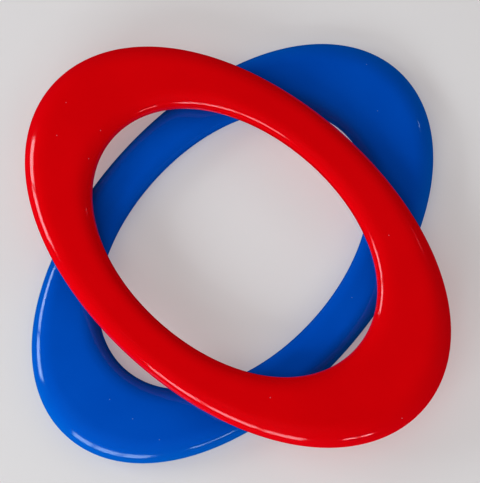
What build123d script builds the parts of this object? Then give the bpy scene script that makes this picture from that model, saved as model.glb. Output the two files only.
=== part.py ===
from build123d import *
import math
import os

# Two matching flat oval toss rings. The lower ring lies on the ground and the upper
# ring lies across it. Each ring is a hollow moulding in two halves, a bottom shell
# and a top shell, welded at mid height on a tongue and groove.
# Millimetres, +Z up. The origin is the middle of the pair's footprint, on the ground.
# +X runs along the lower ring's long axis.

# Outline of a ring
ring_length = 245.0
ring_width = 150.5
end_band = 42.5          # from the rim to the hole, at each end of the long axis
side_band = 21.75        # from the rim to the hole, at each side
shoulder_fill = 0.017    # how far each oval swells past a true ellipse at its shoulders
outline_points = 32

# Section of a ring
thickness = 12.0
nose_depth = 8.5         # plan depth of the rounded edge, on the rim and on the hole
nose_steps = 6
wall = 2.0

# Weld joint between the two shells
tongue_width = 0.8
tongue_height = 1.2
weld_clearance = 0.1     # on each side of the tongue, and above it
seam_bevel = 0.2

# Ribs across the inside of each shell
rib_count = 12
rib_thickness = 1.4
rib_gap = 0.15           # from a rib's edge to the weld plane

# How the upper ring lies on the lower one
upper_turn = 87.0        # degrees, anticlockwise seen from above
upper_shift_x = 0.6
upper_shift_y = 0.25

half_thickness = thickness / 2
hole_length = ring_length - 2 * end_band
hole_width = ring_width - 2 * side_band


def oval_point(length, width, offset, turn):
    """Point on an oval at angle turn, moved out along the oval's normal by offset."""
    c, s = math.cos(turn), math.sin(turn)
    a, b = length / 2, width / 2
    x = a * c * (1 + shoulder_fill * s * s)
    y = b * s * (1 + shoulder_fill * c * c)
    slope_x = -a * s * (1 + shoulder_fill * (s * s - 2 * c * c))
    slope_y = b * c * (1 + shoulder_fill * (c * c - 2 * s * s))
    size = math.hypot(slope_x, slope_y)
    return x + offset * slope_y / size, y - offset * slope_x / size


def oval_face(length, width, offset, height):
    """Flat face inside an oval that is grown by offset, at the given height."""
    turns = [2 * math.pi * k / outline_points for k in range(outline_points)]
    points = [Vector(*oval_point(length, width, offset, t), height) for t in turns]
    edge = Edge.make_spline(points, periodic=True, parameters=turns + [2 * math.pi])
    return Face(Wire([edge]))


def domed_body(length, width, start, depth, height):
    """Solid over an oval whose edge follows a quarter ellipse up from the weld plane.

    It starts at offset start and moves by depth, inwards where depth is negative.
    """
    sections = []
    for step in range(nose_steps + 1):
        angle = math.pi / 2 * step / nose_steps
        offset = start + depth * (1 - math.cos(angle))
        sections.append(oval_face(length, width, offset, height * math.sin(angle)))
    return Solid.make_loft([section.outer_wire() for section in sections])


def domed_band(inset, height):
    """Band between rim and hole with rounded edges, taken in all round by inset."""
    depth = nose_depth - inset
    rim = domed_body(ring_length, ring_width, -inset, -depth, height)
    hole = domed_body(hole_length, hole_width, inset, depth, height)
    return rim - hole


def wall_strip(length, width, inward, strip, height):
    """Upright strip along the middle of the wall that follows one oval."""
    near = inward * (wall - strip) / 2
    far = inward * (wall + strip) / 2
    outer = oval_face(length, width, max(near, far), 0)
    inner = oval_face(length, width, min(near, far), 0)
    return extrude(outer - inner, height)


def weld_strips(strip, height):
    """The strips along the rim wall and along the hole wall together."""
    rim = wall_strip(ring_length, ring_width, -1, strip, height)
    hole = wall_strip(hole_length, hole_width, 1, strip, height)
    return rim + hole


def ribs():
    """Cross ribs at right angles to the band, spread evenly round the ring."""
    mid_length = (ring_length + hole_length) / 2
    mid_width = (ring_width + hole_width) / 2
    blocks = []
    for k in range(rib_count):
        turn = 2 * math.pi * (k + 0.5) / rib_count
        x, y = oval_point(mid_length, mid_width, 0, turn)
        out_x, out_y = oval_point(mid_length, mid_width, 1, turn)
        heading = math.degrees(math.atan2(out_y - y, out_x - x))
        block = Box(1.5 * end_band, rib_thickness, half_thickness)
        blocks.append(Pos(x, y, rib_gap + half_thickness / 2) * Rot(0, 0, heading) * block)
    return blocks


def bevel_body(length, width, outward):
    """Thin slab under an oval whose edge slopes in to the weld plane, for the seam line."""
    low = oval_face(length, width, -outward * seam_bevel, 0).outer_wire()
    high = oval_face(length, width, 0, seam_bevel).outer_wire()
    return Solid.make_loft([low, high], ruled=True)


def skin():
    """Outside of half a ring: the bevelled seam, and the domed band standing on it."""
    seam = bevel_body(ring_length, ring_width, 1) - bevel_body(hole_length, hole_width, -1)
    return seam + Pos(0, 0, seam_bevel) * domed_band(0, half_thickness - seam_bevel)


def plain_shell():
    """Half a ring above the weld plane: skin, inside hollow and ribs."""
    hollow = domed_band(wall, half_thickness - wall)
    for rib in ribs():
        hollow = hollow - rib
    return skin() - hollow


def make_top_shell(shell):
    return shell - weld_strips(tongue_width + 2 * weld_clearance, tongue_height + weld_clearance)


def make_bottom_shell(shell):
    return mirror(shell, about=Plane.XY) + weld_strips(tongue_width, tongue_height)


def main():
    os.makedirs("parts", exist_ok=True)
    shell = plain_shell()
    halves = {"top_shell": make_top_shell(shell), "bottom_shell": make_bottom_shell(shell)}
    places = {
        "lower_ring": Pos(0, -upper_shift_y, half_thickness),
        "upper_ring": Pos(upper_shift_x, 0, thickness + half_thickness) * Rot(0, 0, upper_turn),
    }
    for ring, place in places.items():
        for half, solid in halves.items():
            export_step(place * solid, f"parts/{ring}_{half}.step")


main()
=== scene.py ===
import math
import bpy
import numpy as np
from mathutils import Matrix, Vector


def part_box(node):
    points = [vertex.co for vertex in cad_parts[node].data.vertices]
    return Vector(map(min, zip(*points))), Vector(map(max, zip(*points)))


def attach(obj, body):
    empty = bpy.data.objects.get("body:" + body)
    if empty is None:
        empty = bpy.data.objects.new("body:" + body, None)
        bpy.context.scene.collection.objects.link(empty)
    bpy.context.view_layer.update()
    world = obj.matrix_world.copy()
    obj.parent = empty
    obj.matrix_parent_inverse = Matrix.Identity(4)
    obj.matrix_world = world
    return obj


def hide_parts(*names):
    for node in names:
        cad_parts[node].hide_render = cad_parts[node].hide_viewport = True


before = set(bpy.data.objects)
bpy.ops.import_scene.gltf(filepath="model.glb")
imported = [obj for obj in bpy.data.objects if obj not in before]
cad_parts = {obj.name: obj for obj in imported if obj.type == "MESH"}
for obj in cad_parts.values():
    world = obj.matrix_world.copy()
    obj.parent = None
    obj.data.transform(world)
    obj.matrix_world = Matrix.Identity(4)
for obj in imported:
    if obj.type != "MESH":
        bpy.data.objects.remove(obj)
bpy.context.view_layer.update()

print("frame loaded:", sorted(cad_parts))

# one ring, in metres: both rings came out of the same mould
ring = {
    "endBand": 0.0425,       # rim to hole at each end of the long axis
    "sideBand": 0.02175,     # rim to hole at each side
    "shoulderFill": 0.017,   # swell of the ovals past a true ellipse
    "rimNose": (0.0076, 0.0125),    # plan depth of the rounded rim, at the sides and at the ends
    "holeNose": (0.0064, 0.0105),   # the same for the hole's edge
    "rimCrown": (0.95, 1.4),        # power of the rim's rise: 1 is a quarter oval, more slopes off earlier
    "holeCrown": (0.74, 1.0),
    "rimRubAndShade": 1.0,           # how much the rim's edge is rubbed and carries the painted edge sheen and shade, and the hole's
    "holeRubAndShade": 0.3,
    "wall": 0.002,
    "seamBevel": 0.0002,
    "grooveWidth": 0.001,
    "grooveDepth": 0.0013,
    "tongueWidth": 0.0008,
    "tongueHeight": 0.0012,
    "ribCount": 12,
    "sinkDepth": 0.000012,   # the skin draws in this much over each rib
    "sinkWidth": 0.0016,
    "sinkStart": 0.8,        # share of the half thickness where the sinks begin to show
    "sharpAngle": 30,        # degrees between two faces that keep a crisp edge
    "around": 480,           # points along the oval
    "noseSteps": 18,
    "innerSkip": 3,          # the inside takes every third step of the nose
    "flatSteps": 14,
}

# each ring's nodes, heading of its long axis in degrees, and plastic
lowerRing = {"nodes": "lower_ring", "turn": 0.0, "slot": "blue_plastic"}
upperRing = {"nodes": "upper_ring", "turn": 87.0, "slot": "red_plastic"}


def ovalPoints(length, width, offset, turn):
    # ellipse swollen at its shoulders by a share of sine squared, then moved along its normal by offset
    c, s, fill = np.cos(turn), np.sin(turn), ring["shoulderFill"]
    x = length / 2 * c * (1 + fill * s * s)
    y = width / 2 * s * (1 + fill * c * c)
    slopeX = -length / 2 * s * (1 + fill * (s * s - 2 * c * c))
    slopeY = width / 2 * c * (1 + fill * (c * c - 2 * s * s))
    size = np.hypot(slopeX, slopeY)
    return x + offset * slopeY / size, y - offset * slopeX / size


def ringSize():
    # the lower ring lies along X, so its box gives the outline that both rings share
    low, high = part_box("lower_ring_top_shell")
    return high.x - low.x, high.y - low.y


def ringPlace(spec):
    # middle of the ring in plan, weld plane height and half the thickness
    low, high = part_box(spec["nodes"] + "_top_shell")
    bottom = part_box(spec["nodes"] + "_bottom_shell")[0].z
    half = (high.z - bottom) / 2
    return Vector(((low.x + high.x) / 2, (low.y + high.y) / 2, bottom + half)), half


def sectionPath(half, hasTongue):
    # closed section of one shell above its weld plane, with a quarter oval at each edge: one minus cosine
    # across and sine up. Gives side, inset, share and height of each point, and how many are outer skin
    bevel, wall = ring["seamBevel"], ring["wall"]
    nose = np.linspace(0, np.pi / 2, ring["noseSteps"])
    innerNose = nose[::ring["innerSkip"]]
    flat = np.linspace(0, 1, ring["flatSteps"])[1:-1]
    outShare, outZ = 1 - np.cos(nose), bevel + (half - bevel) * np.sin(nose)
    inInset, inShare = wall * np.cos(innerNose), 1 - np.cos(innerNose)
    inZ = (half - wall) * np.sin(innerNose)
    stepWidth = ring["tongueWidth"] if hasTongue else ring["grooveWidth"]
    stepHeight = -ring["tongueHeight"] if hasTongue else ring["grooveDepth"]
    stepX = np.array([wall / 2 - stepWidth / 2] * 2 + [wall / 2 + stepWidth / 2] * 2)
    stepZ = np.array([0, stepHeight, stepHeight, 0])
    # side runs from 0 at the rim to 1 at the hole, and share counts nose depths on top of the inset
    legs = [
        (0, bevel, 0, 0),                                # seam at the rim
        (0, 0, outShare, outZ),                          # rounded rim
        (flat, 0, 1, half),                              # flat between the edges
        (1, 0, outShare[::-1], outZ[::-1]),              # rounded edge of the hole
        (1, bevel, 0, 0),                                # seam at the hole
        (1, stepX, 0, stepZ),                            # tongue or groove in the hole's wall
        (1, inInset, inShare, inZ),                      # inside of the hole's edge
        (flat[::-1], 0, 1, half - wall),                 # inside of the flat
        (0, inInset[::-1], inShare[::-1], inZ[::-1]),    # inside of the rim
        (0, stepX[::-1], 0, stepZ[::-1]),                # tongue or groove in the rim's wall
    ]
    path = [np.stack(np.broadcast_arrays(*np.atleast_1d(*leg))) for leg in legs]
    side, inset, share, height = np.concatenate(path, axis=1)
    outer = 2 * outZ.size + flat.size + 2
    return side, inset, share, height, outer


def sideToEnd(pair, turn):
    # from the side's value to the end's value by cosine squared
    atSide, atEnd = pair
    return atSide + (atEnd - atSide) * np.cos(turn) ** 2


def sinkOver(turn, length, width):
    # a bell shape over each rib: e to the minus square of the way along the band over the sink's width
    pitch = 2 * np.pi / ring["ribCount"]
    away = turn / pitch % 1 - 0.5
    x, y = ovalPoints(length, width, 0, turn)
    speed = np.hypot(np.gradient(x, turn), np.gradient(y, turn))
    return np.exp(-(away * pitch * speed / ring["sinkWidth"]) ** 2)


def gridFaces(rows, columns):
    # quads of a grid that closes on itself both ways
    r, c = np.meshgrid(np.arange(rows), np.arange(columns), indexing="ij")
    nextR, nextC = (r + 1) % rows, (c + 1) % columns
    return np.stack([r * columns + c, nextR * columns + c,
                     nextR * columns + nextC, r * columns + nextC], -1).reshape(-1, 4)


def makeMesh(name, points, faces):
    # whole arrays into a smooth mesh, creased where two faces meet at more than the sharp angle
    mesh = bpy.data.meshes.new(name)
    mesh.vertices.add(len(points))
    mesh.vertices.foreach_set("co", points.astype(np.float32).ravel())
    mesh.loops.add(faces.size)
    mesh.loops.foreach_set("vertex_index", faces.ravel())
    mesh.polygons.add(len(faces))
    mesh.polygons.foreach_set("loop_start", np.arange(len(faces)) * faces.shape[1])
    mesh.update(calc_edges=True)
    mesh.validate()
    mesh.polygons.foreach_set("use_smooth", np.ones(len(faces), bool))
    mesh.set_sharp_from_angle(angle=math.radians(ring["sharpAngle"]))
    piece = bpy.data.objects.new(name, mesh)
    bpy.context.scene.collection.objects.link(piece)
    return piece


def addFloat(piece, name, values):
    # one number per point, kept on the mesh for its plastic to read
    attribute = piece.data.attributes.new(name, "FLOAT", "POINT")
    attribute.data.foreach_set("value", np.ascontiguousarray(values, np.float32).ravel())


def makeShell(name, spec, isTop):
    # the closed section carried round the oval: each point lies between the rim oval and the hole oval,
    # moved in from its own oval along the normal by its inset plus its share of the nose depth
    place, half = ringPlace(spec)
    length, width = ringSize()
    side, inset, share, height, outer = sectionPath(half, not isTop)
    turn = np.linspace(0, 2 * np.pi, ring["around"], endpoint=False)
    t, sideGrid = np.meshgrid(turn, side, indexing="ij")
    rimInset = inset + share * sideToEnd(ring["rimNose"], t)
    holeInset = inset + share * sideToEnd(ring["holeNose"], t)
    rimX, rimY = ovalPoints(length, width, -rimInset, t)
    holeX, holeY = ovalPoints(length - 2 * ring["endBand"], width - 2 * ring["sideBand"], holeInset, t)
    x = rimX + (holeX - rimX) * sideGrid
    y = rimY + (holeY - rimY) * sideGrid

    # the skin's height over the seam is its share of the full rise, to the power of the crown
    skin, bevel = np.arange(side.size) < outer, ring["seamBevel"]
    z = np.broadcast_to(height, t.shape)
    rise = half - bevel
    lift = np.clip((z - bevel) / rise, 0, 1)
    rimCrown, holeCrown = sideToEnd(ring["rimCrown"], t), sideToEnd(ring["holeCrown"], t)
    crown = rimCrown + (holeCrown - rimCrown) * sideGrid
    z = np.where(skin & (z > bevel), bevel + rise * lift ** crown, z)
    middle = sinkOver(turn, length - ring["endBand"], width - ring["sideBand"])
    sinkStart = ring["sinkStart"]
    onFlat = np.clip((height / half - sinkStart) / (1 - sinkStart), 0, 1) * skin
    z -= ring["sinkDepth"] * middle[:, None] * onFlat[None, :]

    faces = gridFaces(ring["around"], side.size)
    if not isTop:
        z = -z
        faces = faces[:, ::-1]     # the flip in height turns them over
    heading = math.radians(spec["turn"])
    points = np.stack([place.x + x * math.cos(heading) - y * math.sin(heading),
                       place.y + x * math.sin(heading) + y * math.cos(heading),
                       place.z + z], -1).reshape(-1, 3)
    piece = makeMesh(name, points, faces)
    # mask of the rounded edges, weighted from rim to hole: it places the rubbed patches and the painted
    # edge sheen and shade
    edge = np.clip(1 - height / half, 0, 1) * skin
    edge = edge * (ring["rimRubAndShade"] + (ring["holeRubAndShade"] - ring["rimRubAndShade"]) * side)
    addFloat(piece, "edgeRubAndShade", np.broadcast_to(edge, t.shape))
    body, node = spec["nodes"], spec["nodes"] + ("_top_shell" if isTop else "_bottom_shell")
    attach(piece, body)
    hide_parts(node)
    return piece


bluePlastic = {
    "name": "bluePlastic",
    "color": (0.0, 0.123, 0.640),
    "deep": (0.0, 0.108, 0.585),     # the darker side of the drifts
    "edge": (0.0, 0.170, 0.640),     # painted sheen on the rounded edges: a little lighter and greener than the flats
    "roughness": (0.06, 0.11),       # from deep to full colour
}
redPlastic = {
    "name": "redPlastic",
    "color": (0.91, 0.0, 0.005),
    "deep": (0.85, 0.0, 0.005),
    "edge": (0.88, 0.001, 0.012),    # painted shade on the rounded edges: here a touch duller
    "roughness": (0.06, 0.11),
}
finish = {
    "gloss": 0.38,           # strength of the clear reflection
    "cloudScale": 22,        # soft drifts of colour and gloss, per metre
    "cloudDetail": 3,
    "cloudRange": (0.3, 0.7),        # of the noise, from none to all
    "rubScale": 160,         # patches where edges have been rubbed
    "rubDetail": 4,
    "rubRange": (0.52, 0.70),
    "rubGloss": 0.16,        # roughness that rubbing adds
    "hairScale": (900, 60, 60),      # fine hairlines from handling, stretched along one way
    "hairTurn": (0, 0, 0.6),         # radians
    "hairDetail": 2,
    "hairRange": (0.6, 0.75),
    "hairGloss": 0.05,       # and what the hairlines add
    "dustScale": 62,
    "dustSize": 0.018,       # in cells
    "dustShare": 0.12,       # how many cells hold a speck
    "dustStrength": 0.3,
    "dustColor": (0.50, 0.58, 0.66),
    "peelScale": 95,         # slow waviness of the moulded skin
    "peelDetail": 1,
    "peelDepth": 0.000012,
}


def makePlastic(look):
    # polished plastic. Colour: slow drifts, then a painted sheen and shade on the rounded edges, then dust
    # specks over it.
    # Roughness: the drifts' share plus rubbed patches along the edges plus hairlines
    material = bpy.data.materials.new(look["name"])
    material.use_nodes = True
    nodes, links = material.node_tree.nodes, material.node_tree.links
    shader = nodes["Principled BSDF"]
    shader.inputs["Specular IOR Level"].default_value = finish["gloss"]
    coords = nodes.new("ShaderNodeTexCoord").outputs["Object"]

    def noise(scale, detail, source=coords):
        # soft noise of the given grain
        node = nodes.new("ShaderNodeTexNoise")
        node.inputs["Scale"].default_value = scale
        node.inputs["Detail"].default_value = detail
        links.new(source, node.inputs["Vector"])
        return node.outputs["Fac"]

    def spread(value, source, target):
        # stretches one range over another in a straight line, and stops at its ends
        node = nodes.new("ShaderNodeMapRange")
        node.inputs["From Min"].default_value, node.inputs["From Max"].default_value = source
        node.inputs["To Min"].default_value, node.inputs["To Max"].default_value = target
        links.new(value, node.inputs["Value"])
        return node.outputs["Result"]

    def join(operation, first, second):
        # one sum, product or comparison of two values, either of which may be a plain number
        node = nodes.new("ShaderNodeMath")
        node.operation = operation
        for socket, value in zip(node.inputs, (first, second)):
            if isinstance(value, (int, float)):
                socket.default_value = value
            else:
                links.new(value, socket)
        return node.outputs["Value"]

    def blendColor(factor, first, second):
        # from the first colour to the second as the factor goes from 0 to 1
        node = nodes.new("ShaderNodeMix")
        node.data_type = "RGBA"
        links.new(factor, node.inputs["Factor"])
        for name, value in (("A", first), ("B", second)):
            if isinstance(value, tuple):
                node.inputs[name].default_value = (*value, 1)
            else:
                links.new(value, node.inputs[name])
        return node.outputs["Result"]

    edge = nodes.new("ShaderNodeAttribute")
    edge.attribute_name = "edgeRubAndShade"
    cloud = noise(finish["cloudScale"], finish["cloudDetail"])
    color = blendColor(spread(cloud, finish["cloudRange"], (0, 1)), look["deep"], look["color"])
    # painted sheen and shade: the rounded edges take the look's edge colour
    color = blendColor(edge.outputs["Fac"], color, look["edge"])
    cells = nodes.new("ShaderNodeTexVoronoi")
    cells.voronoi_dimensions = "2D"     # seen from above, so that every cell meets the skin
    cells.inputs["Scale"].default_value = finish["dustScale"]
    links.new(coords, cells.inputs["Vector"])
    pick = nodes.new("ShaderNodeSeparateColor")
    links.new(cells.outputs["Color"], pick.inputs["Color"])
    speck = join("LESS_THAN", cells.outputs["Distance"], finish["dustSize"])
    speck = join("MULTIPLY", speck, join("LESS_THAN", pick.outputs["Red"], finish["dustShare"]))
    color = blendColor(join("MULTIPLY", speck, finish["dustStrength"]), color, finish["dustColor"])
    links.new(color, shader.inputs["Base Color"])

    gloss = spread(cloud, finish["cloudRange"], look["roughness"])
    patches = noise(finish["rubScale"], finish["rubDetail"])
    patches = spread(patches, finish["rubRange"], (0, finish["rubGloss"]))
    rub = join("MULTIPLY", edge.outputs["Fac"], patches)
    stretch = nodes.new("ShaderNodeMapping")
    stretch.inputs["Scale"].default_value = finish["hairScale"]
    stretch.inputs["Rotation"].default_value = finish["hairTurn"]
    links.new(coords, stretch.inputs["Vector"])
    lines = noise(1, finish["hairDetail"], stretch.outputs["Vector"])
    hair = spread(lines, finish["hairRange"], (0, finish["hairGloss"]))
    links.new(join("ADD", join("ADD", gloss, rub), hair), shader.inputs["Roughness"])

    bump = nodes.new("ShaderNodeBump")
    bump.inputs["Distance"].default_value = finish["peelDepth"]
    links.new(noise(finish["peelScale"], finish["peelDetail"]), bump.inputs["Height"])
    links.new(bump.outputs["Normal"], shader.inputs["Normal"])
    return material


def buildRings():
    # two shells to a ring, both in the ring's own plastic
    for spec, look in ((lowerRing, bluePlastic), (upperRing, redPlastic)):
        material = makePlastic(look)
        short = spec["nodes"].split("_")[0]
        for isTop in (True, False):
            piece = makeShell(short + ("TopShell" if isTop else "BottomShell"), spec, isTop)
            piece.data.materials.append(material)
        print("ring built:", spec["nodes"])


# a long lens high over the pair, leaning to one side and turned a little about its own line
view = {
    "azimuth": -34.35,
    "elevation": 74.31,
    "distance": 0.7452,
    "aim": (0.0049, 0.0006, 0.0),
    "upHeading": 40.67,      # plan direction that points up the view
    "lens": 111.95,
    "sensor": 36,
}


def makeCamera():
    # stands off from its aim along azimuth and elevation. Its right is the up heading crossed with that
    # line, and its own up is square to both
    azimuth, elevation = math.radians(view["azimuth"]), math.radians(view["elevation"])
    back = Vector((math.sin(azimuth) * math.cos(elevation),
                   -math.cos(azimuth) * math.cos(elevation), math.sin(elevation)))
    upHeading = math.radians(view["upHeading"])
    right = Vector((math.cos(upHeading), math.sin(upHeading), 0)).cross(back).normalized()
    up = back.cross(right)
    data = bpy.data.cameras.new("camera")
    data.sensor_width = view["sensor"]
    data.lens = view["lens"]
    camera = bpy.data.objects.new("camera", data)
    place = Vector(view["aim"]) + back * view["distance"]
    camera.matrix_world = Matrix.Translation(place) @ Matrix((right, up, back)).transposed().to_4x4()
    bpy.context.scene.collection.objects.link(camera)
    bpy.context.scene.camera = camera
    print("camera made")


# heading in the view (0 right, 90 up), elevation, width, height, watts, panes
lights = {
    "leftWindow": (169, 24, 0.90, 0.40, 7.6, 2),
    "nearWindow": (240, 26, 1.22, 0.44, 9.3, 3),
    "sideWindow": (286, 31, 0.40, 0.10, 1.1, 2),
    "farWindow": (36, 37, 0.05, 0.05, 0.06, 1),
    # walls that only fill in: they don't show in the gloss
    "nearWall": (250, 26, 1.20, 0.80, 0.4, 1),
    "highWall": (230, 66, 1.20, 0.90, 1.8, 1),
    "farWall": (90, 28, 1.40, 0.90, 1.8, 1),
    "rightWall": (10, 26, 0.90, 0.90, 1.6, 1),
}
studio = {
    "reach": 1.6,            # from the middle of the table to each light
    "bar": 0.05,             # glazing bar between two panes
    "daylight": (0.88, 1.0, 1.06),
    "wallLight": (1, 1, 1),
    "floorReach": 4.0,
    "floorLevel": -0.0001,   # a hair under the ring, so that the two faces don't share a plane
    "floorColor": (0.590, 0.562, 0.556),
    "floorGlow": (0.232, 0.218, 0.217),
    "floorRoughness": 0.7,
    "floorGloss": 0.2,
    "horizon": (0.20, 0.20, 0.20),
    "zenith": (0.24, 0.24, 0.24),
    "fade": (0.45, 0.85),    # heights on the sky, as sines, between which horizon turns to zenith
}


def makeLights(name):
    # panes side by side on a tangent of the sphere of the given reach, sharing the watts
    heading, elevation, width, height, watts, panes = lights[name]
    isWindow = name.endswith("Window")
    turn = math.radians(heading + view["upHeading"] - 90)
    rise = math.radians(elevation)
    back = Vector((math.cos(turn) * math.cos(rise), math.sin(turn) * math.cos(rise), math.sin(rise)))
    aside = Vector((-math.sin(turn), math.cos(turn), 0))
    for pane in range(panes):
        data = bpy.data.lights.new(name, "AREA")
        data.shape = "RECTANGLE"
        data.size = width / panes - studio["bar"] * (panes > 1)
        data.size_y = height
        data.energy = watts / panes
        data.color = studio["daylight"] if isWindow else studio["wallLight"]
        light = bpy.data.objects.new(name, data)
        light.location = back * studio["reach"] + aside * width * ((pane + 0.5) / panes - 0.5)
        light.rotation_mode = "QUATERNION"
        light.rotation_quaternion = back.to_track_quat("Z", "Y")
        light.visible_camera = False
        light.visible_glossy = isWindow
        bpy.context.scene.collection.objects.link(light)


def makeWorld():
    # soft even sky: the horizon's grey up to the lower height, eased into the zenith's at the upper one
    world = bpy.data.worlds.new("world")
    world.use_nodes = True
    nodes, links = world.node_tree.nodes, world.node_tree.links
    coords = nodes.new("ShaderNodeTexCoord")
    split = nodes.new("ShaderNodeSeparateXYZ")
    fade = nodes.new("ShaderNodeMapRange")
    fade.interpolation_type = "SMOOTHSTEP"
    fade.inputs["From Min"].default_value, fade.inputs["From Max"].default_value = studio["fade"]
    sky = nodes.new("ShaderNodeMix")
    sky.data_type = "RGBA"
    sky.inputs["A"].default_value = (*studio["horizon"], 1)
    sky.inputs["B"].default_value = (*studio["zenith"], 1)
    links.new(coords.outputs["Generated"], split.inputs["Vector"])
    links.new(split.outputs["Z"], fade.inputs["Value"])
    links.new(fade.outputs["Result"], sky.inputs["Factor"])
    links.new(sky.outputs["Result"], nodes["Background"].inputs["Color"])
    world.cycles_visibility.glossy = False     # the gloss shows the windows and the other ring alone
    bpy.context.scene.world = world


def makeFloor():
    # one wide square under the rings, which gives off a little light of its own
    mesh = bpy.data.meshes.new("floor")
    reach, level = studio["floorReach"], studio["floorLevel"]
    corners = [(x * reach, y * reach, level) for x, y in ((-1, -1), (1, -1), (1, 1), (-1, 1))]
    mesh.from_pydata(corners, [], [(0, 1, 2, 3)])
    floor = bpy.data.objects.new("floor", mesh)
    bpy.context.scene.collection.objects.link(floor)
    material = bpy.data.materials.new("floorPaint")
    material.use_nodes = True
    shader = material.node_tree.nodes["Principled BSDF"]
    shader.inputs["Base Color"].default_value = (*studio["floorColor"], 1)
    shader.inputs["Roughness"].default_value = studio["floorRoughness"]
    shader.inputs["Specular IOR Level"].default_value = studio["floorGloss"]
    shader.inputs["Emission Color"].default_value = (*studio["floorGlow"], 1)
    shader.inputs["Emission Strength"].default_value = 1
    mesh.materials.append(material)
    floor.visible_glossy = False     # kept out of the gloss like the sky


def makeStage():
    # floor, sky and lights, shown with somewhat more contrast than plain
    makeFloor()
    makeWorld()
    for name in lights:
        makeLights(name)
    bpy.context.scene.view_settings.view_transform = "Standard"
    bpy.context.scene.view_settings.look = "Medium High Contrast"
    print("stage made")


makeCamera()
buildRings()
makeStage()
